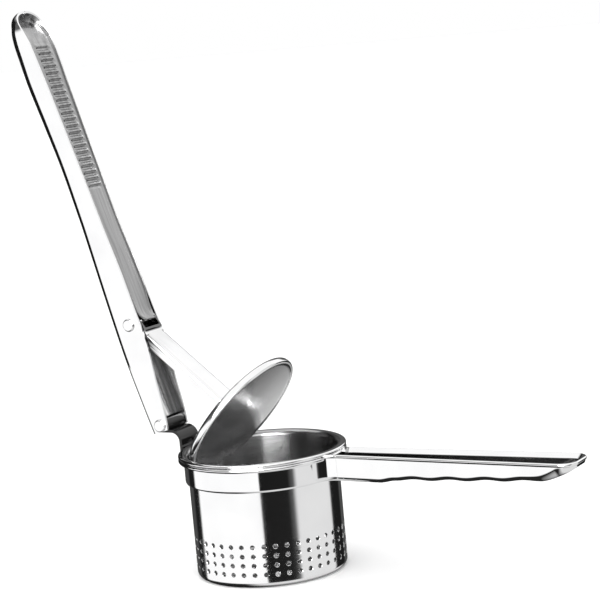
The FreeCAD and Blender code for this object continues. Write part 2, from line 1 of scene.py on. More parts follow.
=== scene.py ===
"""Looks for the potato ricer: formed sheet-steel pieces, steel finishes with some painted shade and
painted reflection, studio and camera.
"""
import bmesh
import bpy
import json
import math
from mathutils import Matrix, Vector


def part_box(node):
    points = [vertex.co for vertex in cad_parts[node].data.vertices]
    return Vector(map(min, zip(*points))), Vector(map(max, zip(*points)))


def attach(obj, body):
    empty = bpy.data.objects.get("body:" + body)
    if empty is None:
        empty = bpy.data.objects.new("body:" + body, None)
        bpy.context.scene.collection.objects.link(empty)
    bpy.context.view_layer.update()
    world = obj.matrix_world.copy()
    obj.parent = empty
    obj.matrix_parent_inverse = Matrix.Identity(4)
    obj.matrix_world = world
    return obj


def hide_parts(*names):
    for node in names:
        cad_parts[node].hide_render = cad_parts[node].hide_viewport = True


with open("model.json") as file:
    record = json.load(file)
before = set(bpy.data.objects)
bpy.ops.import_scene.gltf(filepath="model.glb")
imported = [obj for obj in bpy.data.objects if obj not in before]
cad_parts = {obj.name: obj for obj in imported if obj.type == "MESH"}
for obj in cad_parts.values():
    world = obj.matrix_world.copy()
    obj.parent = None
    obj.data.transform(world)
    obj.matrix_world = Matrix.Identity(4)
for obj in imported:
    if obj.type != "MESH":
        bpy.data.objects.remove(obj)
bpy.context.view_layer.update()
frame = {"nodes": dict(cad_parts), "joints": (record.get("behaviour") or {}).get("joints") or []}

MM = 0.001
ROOT_BODY = "cup_and_handle"
LEVER_BODY = "lever"
PUSHER_BODY = "pusher"
joints = {joint["name"]: Vector(joint["pos_m"]) for joint in frame["joints"]}

# ---- sizes, in metres ---------------------------------------------------------------
CUP_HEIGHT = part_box("basket_cup")[1][2]
RIM_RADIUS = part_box("basket_cup")[1][0]
ROLL = 1.1 * MM                       # radius of the rolled rims
CUP_RADIUS = RIM_RADIUS - 4.8 * MM
CUP_SHEET = 0.6 * MM
CUP_CORNER = 3.0 * MM
FLARE = 2.2 * MM
HOLE_RADIUS = 1.3 * MM
HOLE_COLUMNS = 42
HOLE_ROWS = 4
HOLE_PITCH = 5.1 * MM
FIRST_ROW = 7.3 * MM
COLUMN_TURN = math.radians(0.7)       # the columns start this far round from +X
BOTTOM_RINGS = 6
BOTTOM_PITCH = 5.6 * MM
COLLAR_RADIUS = RIM_RADIUS - 2.95 * MM
COLLAR_BOTTOM = 53.2 * MM
SHEET = 1.2 * MM
LEVER_ANGLE = math.radians(106.6)     # the lever's length above +X when open
LINK_ANGLE = math.radians(-39.5)      # the push link's direction when open
DISC_RADIUS = 39.4 * MM
DISC_DEPTH = 5.0 * MM
LINK_LENGTH = 83.3 * MM
ROLL_START, ROLL_END = 215, 450       # the rolled rims' arc, in degrees
NEAR_AXIS = 0.0001                    # radius in mm that closes a turned profile on its axis
WELD_DISTANCE = 0.004 * MM
EDGE_ROUND = 0.3 * MM                 # softening of the cut edges of the handles' sheet


# ---- mesh helpers -------------------------------------------------------------------
def arc_points(centre, radius, start, end, steps):
    """Points on an arc between two angles in degrees, both ends included."""
    points = []
    for step in range(steps + 1):
        angle = math.radians(start + (end - start) * step / steps)
        points.append((centre[0] + radius * math.cos(angle), centre[1] + radius * math.sin(angle)))
    return points


def grid_faces(rows, columns, closed=False, offset=0):
    """Quads between rows of points; closed joins the last column to the first."""
    faces = []
    last = columns if closed else columns - 1
    for row in range(rows - 1):
        for column in range(last):
            after = (column + 1) % columns
            low = offset + row * columns
            high = low + columns
            faces.append((low + column, low + after, high + after, high + column))
    return faces


def new_piece(name, verts, faces, material, crease=35.0):
    mesh = bpy.data.meshes.new(name)
    mesh.from_pydata([tuple(v) for v in verts], [], faces)
    mesh.shade_smooth()
    mesh.set_sharp_from_angle(angle=math.radians(crease))
    mesh.materials.append(material)
    piece = bpy.data.objects.new(name, mesh)
    bpy.context.scene.collection.objects.link(piece)
    return piece


def revolve(profile, steps):
    """Vertices and faces of a profile of (radius, height) turned round Z."""
    verts = []
    for radius, height in profile:
        for step in range(steps):
            angle = 2 * math.pi * step / steps + COLUMN_TURN
            verts.append((radius * math.cos(angle), radius * math.sin(angle), height))
    return verts, grid_faces(len(profile), steps, closed=True)


def merge(parts):
    """Join several (verts, faces) lists into one."""
    verts, faces = [], []
    for part_verts, part_faces in parts:
        offset = len(verts)
        verts += part_verts
        faces += [tuple(i + offset for i in face) for face in part_faces]
    return verts, faces


def thicken(piece, thickness, round_edge, inside=None):
    """Turn a sheet into a solid of even thickness on its back, with softened edges."""
    solid = piece.modifiers.new("sheet", "SOLIDIFY")
    # The inside material is a darker copy of the steel for the back faces: painted shade inside the
    # channel.
    if inside:
        piece.data.materials.append(inside)
        solid.material_offset = 1
    solid.thickness = thickness
    solid.offset = -1
    solid.use_even_offset = True
    solid.use_quality_normals = True
    edge = piece.modifiers.new("edges", "BEVEL")
    edge.width = round_edge
    edge.segments = 2
    edge.limit_method = "ANGLE"
    edge.angle_limit = math.radians(50)
    edge.harden_normals = True


def blend_value(table, at):
    """Value on the straight line between given (position, value) pairs."""
    if at <= table[0][0]:
        return table[0][1]
    for (a, va), (b, vb) in zip(table, table[1:]):
        if at <= b:
            share = (at - a) / (b - a)
            return va + (vb - va) * share
    return table[-1][1]


def smooth_table(table, at):
    """Catmull-Rom value through given (position, value) pairs."""
    for index in range(len(table) - 1):
        if at <= table[index + 1][0] or index == len(table) - 2:
            break
    before = table[max(index - 1, 0)]
    start = table[index]
    end = table[index + 1]
    after = table[min(index + 2, len(table) - 1)]
    span = end[0] - start[0]
    share = min(max((at - start[0]) / span, 0.0), 1.0)
    slope_in = (end[1] - before[1]) / (end[0] - before[0]) * span
    slope_out = (after[1] - start[1]) / (after[0] - start[0]) * span
    cube = share ** 3
    square = share ** 2
    return ((2 * cube - 3 * square + 1) * start[1] + (cube - 2 * square + share) * slope_in
            + (3 * square - 2 * cube) * end[1] + (cube - square) * slope_out)


def smooth_step(low, high, at):
    """Rises smoothly from 0 at low to 1 at high."""
    share = min(max((at - low) / (high - low), 0.0), 1.0)
    return share * share * (3 - 2 * share)


def blunt_end(share, along, across, least=0.0):
    """Size left on the way to a rounded end. Both powers are 2 for an ellipse, and more is blunter."""
    return max(1 - share ** along, least) ** (1 / across)


def even(start, end, steps):
    """Evenly spaced positions from start up to end, which is left out."""
    return [start + (end - start) * step / steps for step in range(steps)]


def closing(start, end, steps):
    """Positions from start to end, both included, that get closer together towards end."""
    return [start + (end - start) * math.sin(math.pi / 2 * step / steps) for step in range(steps + 1)]


def clean(piece, crease=35.0):
    """Weld the patches, face everything outwards and mark the sharp edges."""
    mesh = bmesh.new()
    mesh.from_mesh(piece.data)
    bmesh.ops.remove_doubles(mesh, verts=mesh.verts, dist=WELD_DISTANCE)
    bmesh.ops.recalc_face_normals(mesh, faces=mesh.faces)
    mesh.to_mesh(piece.data)
    mesh.free()
    piece.data.shade_smooth()
    piece.data.set_sharp_from_angle(angle=math.radians(crease))


def face_outwards(piece):
    """Turn an open channel's faces over if its first wall, on the -Y side, faces inwards."""
    if piece.data.polygons[0].normal.y > 0:
        piece.data.flip_normals()


def put_at_pivot(piece, pivot, angle):
    """Put a piece drawn along its own X at a pivot, turned up by angle about Y."""
    piece.matrix_world = Matrix.Translation(pivot) @ Matrix.Rotation(-angle, 4, "Y")


# ---- node trees ---------------------------------------------------------------------
class NodeTree:
    """Adds linked nodes to a material or world. A value is a setting or another node's output."""

    def __init__(self, owner):
        owner.use_nodes = True
        self.nodes = owner.node_tree.nodes
        self.links = owner.node_tree.links

    def feed(self, socket, value):
        if isinstance(value, bpy.types.NodeSocket):
            self.links.new(value, socket)
        else:
            socket.default_value = value

    def add(self, kind, inputs, **settings):
        node = self.nodes.new("ShaderNode" + kind)
        for name, setting in settings.items():
            setattr(node, name, setting)
        for name, value in inputs.items():
            self.feed(node.inputs[name], value)
        return node

    def calculate(self, operation, *values):
        return self.add("Math", dict(enumerate(values)), operation=operation).outputs[0]

    def split(self, vector):
        return self.add("SeparateXYZ", {"Vector": vector}).outputs

    def stretch(self, place, scale):
        return self.add("Mapping", {"Vector": place, "Scale": scale}).outputs["Vector"]

    def noise(self, place, scale, detail, roughness=0.5):
        inputs = {"Vector": place, "Scale": scale, "Detail": detail, "Roughness": roughness}
        return self.add("TexNoise", inputs).outputs["Fac"]

    def between(self, value, low, high, start=0.0, end=1.0, smooth=False):
        """Value from start to end while the input goes from low to high."""
        inputs = {"Value": value, "From Min": low, "From Max": high, "To Min": start, "To Max": end}
        kind = "SMOOTHSTEP" if smooth else "LINEAR"
        return self.add("MapRange", inputs, interpolation_type=kind).outputs["Result"]

    def mix(self, share, first, second, kind="RGBA"):
        inputs = {"Factor": share, "A": first, "B": second}
        return self.add("Mix", inputs, data_type=kind).outputs["Result"]

    def dim(self, colour, factor):
        inputs = {0: colour, "Scale": factor}
        return self.add("VectorMath", inputs, operation="SCALE").outputs["Vector"]

    def ramp(self, value, stops):
        """Colour ramp through (position, colour) stops in rising order."""
        node = self.add("ValToRGB", {"Fac": value})
        elements = node.color_ramp.elements
        elements.remove(elements[1])
        elements[0].position = stops[0][0]
        elements[0].color = (*stops[0][1], 1)
        for position, colour in stops[1:]:
            elements.new(position).color = (*colour, 1)
        return node.outputs["Color"]


# ---- materials ----------------------------------------------------------------------
TURN_SCALE = 40 * MM                  # a turn's angle times this is a length on the disc
GRAIN_DETAIL, GRAIN_ROUGHNESS = 5.0, 0.65
STAIN_SCALE, STAIN_DETAIL = 45.0, 3.0
STAIN_SPAN = (0.3, 0.75)              # noise that is fully stained and fully clean
STAIN_TINT = (0.93, 0.93, 0.935)
GLOSS_SPAN = (0.25, 0.75)             # noise that gives the least and the most roughness
GLOSS_SPREAD = (0.75, 1.3)
STREAK_SCALE, STREAK_DETAIL = 0.22, 4.0
STREAK_SPAN = (0.35, 0.62)
ACROSS_GROOVES = 0.25                 # a quarter turn, so that gloss spreads across the grooves


def turned_place(tree, place):
    """Coordinates round the object's own Z axis: angle, distance from the axis and height."""
    x, y, z = tree.split(place)
    around = tree.calculate("MULTIPLY", tree.calculate("ARCTAN2", y, x), TURN_SCALE)
    flat = tree.add("CombineXYZ", {"X": x, "Y": y}).outputs["Vector"]
    radius = tree.add("VectorMath", {0: flat}, operation="LENGTH").outputs["Value"]
    return tree.add("CombineXYZ", {"X": around, "Y": radius, "Z": z}).outputs["Vector"]


def steel(name, tone, roughness, grain_scale, grain_depth, anisotropy=0.0, tangent_axis=None,
          turned=False, streak=0.0):
    """Stainless steel: fine grain stretched along one direction, faint stains, uneven gloss."""
    material = bpy.data.materials.new(name)
    tree = NodeTree(material)
    shader = tree.nodes["Principled BSDF"].inputs
    shader["Metallic"].default_value = 1.0
    shader["Anisotropic"].default_value = anisotropy
    place = tree.add("TexCoord", {}).outputs["Object"]
    surface = turned_place(tree, place) if turned else place
    grain = tree.noise(tree.stretch(surface, grain_scale), 1.0, GRAIN_DETAIL, GRAIN_ROUGHNESS)
    stain = tree.noise(place, STAIN_SCALE, STAIN_DETAIL)
    stained = [tone * tint for tint in STAIN_TINT]
    colour = tree.ramp(stain, [(STAIN_SPAN[0], stained), (STAIN_SPAN[1], (tone,) * 3)])
    if streak:
        colour = tree.dim(colour, streaks(tree, surface, grain_scale, streak))
    tree.feed(shader["Base Color"], colour)
    least, most = [roughness * share for share in GLOSS_SPREAD]
    tree.feed(shader["Roughness"], tree.between(grain, *GLOSS_SPAN, least, most))
    relief = {"Strength": 1.0, "Distance": grain_depth, "Height": grain}
    tree.feed(shader["Normal"], tree.add("Bump", relief).outputs["Normal"])
    if tangent_axis:
        tangent = tree.add("Tangent", {}, direction_type="RADIAL", axis=tangent_axis)
        tree.feed(shader["Tangent"], tangent.outputs["Tangent"])
        shader["Anisotropic Rotation"].default_value = ACROSS_GROOVES
    return material


def streaks(tree, surface, grain_scale, streak):
    """Share of light left by broader drawn lines along the grain, down to 1 - streak."""
    broad = tree.stretch(surface, [STREAK_SCALE * scale for scale in grain_scale])
    lines = tree.noise(broad, 1.0, STREAK_DETAIL)
    return tree.between(lines, *STREAK_SPAN, 1.0 - streak, 1.0)


def paint_dark_reflection_towards_pin(material, pivot, angle):
    """Painted dark reflections: streaks on the link's side walls that fade out away from its pin, and a
    painted dark reflection on the end plate.
    """
    ragged_by = -24 * MM                  # the noise moves the end of each streak this far
    fade_start, fade_end = 2 * MM, 16 * MM
    web_start, web_end = 1.5 * MM, 2.8 * MM
    plate_start, plate_end = 3.05 * MM, 3.6 * MM
    # How dark the painted reflections get on the walls and on the end plate, and the web's share
    # between them.
    darkest_painted_reflection, plate_painted_reflection, web_share = 0.03, 0.18, 0.9
    streak_stretch, streak_detail = (40, 200, 1100), 3.0
    tree = NodeTree(material)
    base = tree.nodes["Principled BSDF"].inputs["Base Color"]
    plain = base.links[0].from_socket
    place = tree.add("TexCoord", {}).outputs["Object"]
    offset = tree.add("VectorMath", {0: place, 1: pivot}, operation="SUBTRACT").outputs["Vector"]
    turned = {"Vector": offset, "Angle": angle}
    spot = tree.add("VectorRotate", turned, rotation_type="Y_AXIS").outputs["Vector"]
    along, _, across = tree.split(spot)
    lines = tree.noise(tree.stretch(spot, streak_stretch), 1.0, streak_detail)
    ragged = tree.calculate("MULTIPLY_ADD", lines, ragged_by, along)
    wall = tree.between(ragged, fade_start, fade_end, darkest_painted_reflection, 1.0, smooth=True)
    web = tree.between(across, web_start, web_end, 0.0, web_share)
    plate = tree.between(across, plate_start, plate_end, 1.0, plate_painted_reflection)
    tree.feed(base, tree.dim(plain, tree.mix(web, wall, plate, kind="FLOAT")))


POLISHED = steel("polished_steel", 0.90, 0.06, (300, 300, 1200), 0.5e-6)
CUP_STEEL = steel("cup_steel", 0.90, 0.10, (60, 60, 4200), 1.0e-6)
# Inside of the cup: real turned brushing, and a darker tone than the outside that is painted shade.
CUP_INSIDE_SHADED = steel("cup_inside_steel_painted_shade", 0.50, 0.18, (60, 60, 3500), 2.0e-6, 0.95, "Z")
# Inside of the handle's channel: a much darker copy of the steel, painted shade.
CHANNEL_INSIDE_SHADED = steel("channel_inside_steel_painted_shade", 0.30, 0.22, (60, 900, 900), 1.5e-6, streak=0.5)
# Inside of the lever's channel: a darker copy of the steel, painted shade.
LEVER_INSIDE_SHADED = steel("lever_inside_steel_painted_shade", 0.78, 0.20, (30, 1400, 1400), 2.0e-6, streak=0.6)
DISC_STEEL = steel("disc_steel", 0.78, 0.15, (30, 2600, 30), 2.0e-6, 0.85, "Z", turned=True)
STRIP_STEEL = steel("strip_steel", 0.46, 0.22, (40, 1600, 1600), 1.5e-6, streak=0.3)
# Hinge bracket, under the lever's back: its nearly black tone is painted shade.
BRACKET_STEEL_PAINTED_SHADE = steel("bracket_steel_painted_shade", 0.05, 0.10, (900, 900, 900), 0.5e-6)
# The link's polished steel, with painted dark reflections added on its side walls and end plate.
LINK_STEEL_PAINTED_REFLECTION = steel("link_steel_painted_reflection", 0.90, 0.06, (300, 300, 1200), 0.5e-6)
paint_dark_reflection_towards_pin(LINK_STEEL_PAINTED_REFLECTION, joints["link_pivot"], LINK_ANGLE)
RIVET_STEEL = steel("rivet_steel", 0.92, 0.06, (900, 900, 900), 0.5e-6)


# ---- perforated cup -----------------------------------------------------------------
CELL_SIDE = 4                 # mesh steps along each side of a hole's cell
WALL_STEPS = HOLE_COLUMNS * CELL_SIDE
PUNCHED_LOW = FIRST_ROW - HOLE_PITCH / 2
PUNCHED_HIGH = PUNCHED_LOW + HOLE_ROWS * HOLE_PITCH


def square_ring(steps):
    """Corner-to-corner points round a square from (-1,-1) to (1,1), counter-clockwise."""
    ring = []
    corners = [(-1, -1), (1, -1), (1, 1), (-1, 1)]
    for (ax, ay), (bx, by) in zip(corners, corners[1:] + corners[:1]):
        for step in range(steps):
            share = step / steps
            ring.append((ax + (bx - ax) * share, ay + (by - ay) * share))
    return ring


def punched_wall():
    """The band of the wall with its four rows of holes, outside, inside and hole walls."""
    cell = 2 * math.pi / HOLE_COLUMNS
    inner = CUP_RADIUS - CUP_SHEET
    soften = 0.12 * MM
    ring = square_ring(CELL_SIDE)
    count = len(ring)
    verts, faces = [], []
    for row in range(HOLE_ROWS):
        middle = FIRST_ROW + row * HOLE_PITCH
        for column in range(HOLE_COLUMNS):
            turn = column * cell + cell / 2 + COLUMN_TURN
            base = len(verts)
            loops = [(CUP_RADIUS, None), (CUP_RADIUS, HOLE_RADIUS + soften),
                     (CUP_RADIUS - soften, HOLE_RADIUS), (inner + soften, HOLE_RADIUS),
                     (inner, HOLE_RADIUS + soften), (inner, None)]
            for radius, hole in loops:
                for x, y in ring:
                    if hole is None:
                        angle = turn + x * cell / 2
                        height = middle + y * HOLE_PITCH / 2
                    else:
                        around = math.atan2(y, x)
                        angle = turn + hole * math.cos(around) / CUP_RADIUS
                        height = middle + hole * math.sin(around)
                    verts.append((radius * math.cos(angle), radius * math.sin(angle), height))
            for loop in range(len(loops) - 1):
                for step in range(count):
                    after = (step + 1) % count
                    low = base + loop * count
                    high = low + count
                    faces.append((low + step, low + after, high + after, high + step))
    return verts, faces


def cup_bottom():
    """Flat perforated bottom, both faces and the hole walls."""
    mesh = bmesh.new()
    edge_radius = CUP_RADIUS - CUP_CORNER
    circles = [(0.0, 0.0, edge_radius, WALL_STEPS)]
    for ring in range(1, BOTTOM_RINGS + 1):
        count = 6 * ring
        for step in range(count):
            angle = 2 * math.pi * step / count
            radius = ring * BOTTOM_PITCH
            circles.append((radius * math.cos(angle), radius * math.sin(angle), HOLE_RADIUS, 16))
    loops = []
    for level in (0.0, CUP_SHEET):
        edges = []
        for x, y, radius, steps in circles:
            loop = []
            for step in range(steps):
                angle = 2 * math.pi * step / steps + COLUMN_TURN
                loop.append(mesh.verts.new((x + radius * math.cos(angle),
                                            y + radius * math.sin(angle), level)))
            edges += [mesh.edges.new((a, b)) for a, b in zip(loop, loop[1:] + loop[:1])]
            loops.append(loop)
        bmesh.ops.triangle_fill(mesh, use_beauty=True, use_dissolve=False, edges=edges)
    half = len(loops) // 2
    for low, high in zip(loops[1:half], loops[half + 1:]):
        for step in range(len(low)):
            after = (step + 1) % len(low)
            mesh.faces.new((low[step], low[after], high[after], high[step]))
    mesh.verts.index_update()
    verts = [tuple(v.co) for v in mesh.verts]
    faces = [tuple(v.index for v in face.verts) for face in mesh.faces]
    mesh.free()
    return verts, faces


def cup_profiles():
    """The plain bands: the foot and lower wall, the upper wall with flare and rim, the inner foot."""
    inner = CUP_RADIUS - CUP_SHEET
    foot = CUP_RADIUS - CUP_CORNER
    steps = 10
    outer_low = arc_points((foot, CUP_CORNER), CUP_CORNER, -90, 0, steps)
    outer_low.append((CUP_RADIUS, PUNCHED_LOW))
    roll_centre = (RIM_RADIUS - ROLL, CUP_HEIGHT - ROLL)
    flare_centre = (CUP_RADIUS + FLARE, roll_centre[1] - ROLL * 0.35 - FLARE)
    upper = [(CUP_RADIUS, PUNCHED_HIGH), (CUP_RADIUS, (PUNCHED_HIGH + flare_centre[1]) / 2)]
    upper += arc_points(flare_centre, FLARE, 180, 105, steps)
    upper += arc_points(roll_centre, ROLL, ROLL_START, ROLL_END, 2 * steps)
    lip = CUP_SHEET + FLARE
    upper += arc_points((flare_centre[0], CUP_HEIGHT - lip), lip, 90, 180, steps)
    upper += [(inner, CUP_HEIGHT * 0.55), (inner, PUNCHED_HIGH)]
    inner_low = [(inner, PUNCHED_LOW)]
    inner_low += arc_points((foot, CUP_CORNER), CUP_CORNER - CUP_SHEET, 0, -90, steps)
    return outer_low, upper, inner_low


def make_cup():
    parts = [revolve(profile, WALL_STEPS) for profile in cup_profiles()]
    parts.append(punched_wall())
    parts.append(cup_bottom())
    verts, faces = merge(parts)
    cup = new_piece("formed_cup", verts, faces, CUP_STEEL)
    clean(cup)
    # Faces inside the cup and on its inner flare get the darker steel: painted shade.
    cup.data.materials.append(CUP_INSIDE_SHADED)
    inner_side = CUP_RADIUS - CUP_SHEET / 2
    turned_in = -0.2                      # a face's lean towards the axis that counts as inside
    for face in cup.data.polygons:
        outward = Vector((face.center.x, face.center.y, 0))
        facing_in = face.normal.dot(outward) < turned_in * outward.length
        deep = outward.length < inner_side and face.center.z > CUP_SHEET / 2
        flare = facing_in and outward.length < CUP_RADIUS + FLARE
        face.material_index = 1 if deep or flare else 0
    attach(cup, ROOT_BODY)
    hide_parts("basket_cup")


# ---- channels: the lever and the lower handle -----------------------------------------
def channel_section(half, edge, closed, radius, wall_steps=6, bend_steps=8, floor_steps=4):
    """Open channel section from one free edge, round the closed side, to the other.

    edge and closed are the levels of the free edges and of the closed side.
    """
    way = 1 if closed > edge else -1
    radius = min(radius, 0.98 * half, 0.9 * abs(closed - edge))      # a bend that always fits
    points = []
    bend_level = closed - way * radius
    for step in range(wall_steps):
        points.append((-half, edge + (bend_level - edge) * step / wall_steps))
    for step in range(bend_steps):
        turn = math.pi / 2 * step / bend_steps
        side = -half + radius * (1 - math.cos(turn))
        points.append((side, bend_level + way * radius * math.sin(turn)))
    for step in range(floor_steps):
        points.append(((-half + radius) * (1 - step / floor_steps), closed))
    mirrored = [(-y, level) for y, level in reversed(points)]
    return points + [(0.0, closed)] + mirrored


# The lever and its strip are drawn in mm along the lever from its hinge, with the back upwards.
LEVER_START, LEVER_SHOULDER, LEVER_TIP = -3.5, 233.0, 246.8
NOSE_START, NOSE_END, NOSE_LEVEL = 222.0, 246.9, 1.2      # where the back drops, and down to where
PLAN_POWERS = (2.8, 2.4)              # blunt ends seen from the front
SIDE_POWERS = (2.4, 2.2)              # the nose seen from the side
LEAST_END = 0.0004                    # keeps the last section of the lever from closing up
LEAST_DEPTH = 0.3                     # of the channel, at the very tip
BEND_AT_HINGE, BEND_GROWTH, BEND_LENGTH = 5.4, 3.4, 230
LEVER_HALVES = [(-3.5, 10.5), (60, 9.85), (120, 9.3), (200, 10.9), (235, 12.3)]
LEVER_FRONT = [(-3.5, -4.1), (3, -5.2), (12, -6.2), (24, -7.1), (34, -8.5), (45, -9.6), (54, -9.7),
               (64, -9.2), (90, -8.5), (116, -6.9), (142, -6.2), (200, -4.4), (219, -3.7),
               (228, -3.0), (235, -1.7), (240, -0.3), (244, 0.6), (247, 0.9)]
LEVER_BACK = [(-3.5, 8.2), (15, 9.3), (42, 10.4), (75, 10.2), (120, 9.4), (155, 9.2), (180, 10.4),
              (205, 11.8), (222, 11.4)]


def lever_half(s):
    """Half width of the lever before its plan rounds off at the tip."""
    return blend_value(LEVER_HALVES, s)


def lever_bend(s):
    """Bend radius between the lever's sides and its back; the grip is rounder."""
    return BEND_AT_HINGE + BEND_GROWTH * (max(s, 0) / BEND_LENGTH) ** 2.0


def lever_back(s):
    """Level of the closed back. The nose is a quarter of a blunt ellipse."""
    if s <= NOSE_START:
        return smooth_table(LEVER_BACK, s)
    share = min((s - NOSE_START) / (NOSE_END - NOSE_START), 1.0)
    return NOSE_LEVEL + (LEVER_BACK[-1][1] - NOSE_LEVEL) * blunt_end(share, *SIDE_POWERS)


def make_lever():
    stations = even(LEVER_START, LEVER_SHOULDER, 90) + closing(LEVER_SHOULDER, LEVER_TIP, 16)
    verts = []
    for s in stations:
        half = lever_half(s)
        if s > LEVER_SHOULDER:
            share = (s - LEVER_SHOULDER) / (LEVER_TIP - LEVER_SHOULDER)
            half *= blunt_end(share, *PLAN_POWERS, LEAST_END)
        edge = smooth_table(LEVER_FRONT, s)
        section = channel_section(half, edge, max(lever_back(s), edge + LEAST_DEPTH), lever_bend(s))
        verts += [(s * MM, y * MM, level * MM) for y, level in section]
    columns = len(section)
    lever = new_piece("formed_lever", verts, grid_faces(len(stations), columns), POLISHED)
    clean(lever)
    face_outwards(lever)
    thicken(lever, SHEET, EDGE_ROUND, LEVER_INSIDE_SHADED)
    put_at_pivot(lever, joints["lever_hinge"], LEVER_ANGLE)
    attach(lever, LEVER_BODY)
    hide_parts("upper_lever")


# ---- collar and lower handle ----------------------------------------------------------
def make_collar():
    """Turned ring: a turned-in lower edge, a plain band and a rolled rim under the cup's own."""
    top = CUP_HEIGHT - 3.3 * MM
    roll_centre = (RIM_RADIUS - ROLL, top)
    inner = COLLAR_RADIUS - 1.0 * MM
    seat = CUP_RADIUS + 0.15 * MM         # where the lower edge meets the cup
    corner = 1.3 * MM
    lower, upper = COLLAR_BOTTOM - 0.2 * MM, COLLAR_BOTTOM + 0.6 * MM
    band = COLLAR_BOTTOM + 1.2 * MM
    profile = [(seat, lower)]
    profile += arc_points((COLLAR_RADIUS - corner, upper), corner, -80, 0, 8)
    profile += [(COLLAR_RADIUS, band), (COLLAR_RADIUS, top - 2.2 * MM),
                (COLLAR_RADIUS, top - 1.3 * MM), (COLLAR_RADIUS + 0.15 * MM, top - 0.9 * MM)]
    profile += arc_points(roll_centre, ROLL, ROLL_START, ROLL_END, 18)
    profile += [(inner, top + ROLL * 0.5), (inner, band), (seat, upper), (seat, lower)]
    verts, faces = revolve(profile, 192)
    collar = new_piece("formed_collar", verts, faces, POLISHED)
    clean(collar)
    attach(collar, ROOT_BODY)


# The handle is drawn in mm along X from the cup's axis.
HANDLE_TOP = 67.7
HANDLE_START, HANDLE_END = 40.4, 187.5     # the hem goes 0.7 further
ROOT_END = 53                         # positions are closer together up to here
HANDLE_NOSE, HEM_NOSE = 178, 180      # and again from here on
TAPER_START, TAPER_LENGTH = 50, 135
NARROW_HALF, WIDE_HALF = 9.42, 12.63  # half widths at the taper's two ends
ROOT_HALF, ROOT_BLEND = 9.3, 12.0
HANDLE_CORNER = 8.0
COLLAR_INSET = 0.6                    # the handle's first sections lie this far inside the collar
UNDER_LEVEL, UNDER_RISE, RISE_START = 52.8, 1.5, 76
SCALLOP_START, SCALLOP_PITCH, SCALLOP_DEPTH, SCALLOP_END = 86.0, 21.0, 0.8, 170
FIRST_CREST, LAST_CREST = 54.3, 57.3
NOSE_UNDER = [(168, 57.25), (170, 57.3), (174, 58.2), (178.5, 59.8), (183, 61.9), (186, 63.5),
              (188, 65.0)]
HANDLE_BENDS = [(40, 2.8), (160, 2.8), (172, 4.5), (188, 7.5)]
HEM_START = 44.5
HEM_DEPTH = 1.5                       # the handle's walls end this far down, inside the hem
BEAD_DROP, BEAD_RADIUS, BEAD_INSET = 1.1, 1.0, 0.3
# Points of the hem's section: (outwards from the plan outline, up from the bead's centre).
BEAD_FOOT = [(-2.3, -1.75), (-0.9, -1.9)]
BEAD_SLOPE = [(-0.75, 0.72), (-2.5, -1.4)]     # flat slope down to the channel's inside


def handle_half(x):
    """Half width: straight taper, a concave blend into the collar and a rounded end."""
    straight = NARROW_HALF + (WIDE_HALF - NARROW_HALF) * (x - TAPER_START) / TAPER_LENGTH
    blend_y = ROOT_HALF + ROOT_BLEND
    blend_x = math.sqrt((COLLAR_RADIUS / MM + ROOT_BLEND) ** 2 - blend_y ** 2)
    if x < blend_x:
        return blend_y - math.sqrt(max(ROOT_BLEND ** 2 - (blend_x - x) ** 2, 0.0))
    corner_start = HANDLE_END - HANDLE_CORNER
    if x > corner_start:
        reach = (x - corner_start) / HANDLE_CORNER
        return straight - HANDLE_CORNER * (1 - math.sqrt(max(1 - reach ** 2, 0.0)))
    return straight


def handle_under(x):
    """Level of the underside: flat by the cup, a rise, four finger scallops and the nose."""
    if x < SCALLOP_START:
        return UNDER_LEVEL + UNDER_RISE * smooth_step(RISE_START, SCALLOP_START, x)
    if x < SCALLOP_END:
        share = (x - SCALLOP_START) / (SCALLOP_END - SCALLOP_START)
        crest = FIRST_CREST + (LAST_CREST - FIRST_CREST) * share
        return crest + SCALLOP_DEPTH * math.sin(math.pi * (x - SCALLOP_START) / SCALLOP_PITCH) ** 2
    return smooth_table(NOSE_UNDER, x)


def make_handle():
    stations = even(HANDLE_START, ROOT_END, 26) + even(ROOT_END, HANDLE_NOSE, 120)
    stations += closing(HANDLE_NOSE, HANDLE_END, 20)
    edge = HANDLE_TOP - HEM_DEPTH
    joined = COLLAR_RADIUS / MM - COLLAR_INSET
    verts = []
    for x in stations:
        bend = smooth_table(HANDLE_BENDS, x)
        section = channel_section(handle_half(x), edge, handle_under(x), bend)
        for y, level in section:
            along = max(x, math.sqrt(max(joined ** 2 - y ** 2, 0.0)))
            verts.append((along * MM, y * MM, level * MM))
    columns = len(section)
    faces = grid_faces(len(stations), columns)
    last = (len(stations) - 1) * columns
    faces.append(tuple(range(last, last + columns)))
    handle = new_piece("formed_handle", verts, faces, POLISHED)
    clean(handle)
    face_outwards(handle)
    thicken(handle, SHEET, EDGE_ROUND, CHANNEL_INSIDE_SHADED)
    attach(handle, ROOT_BODY)
    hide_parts("lower_handle")


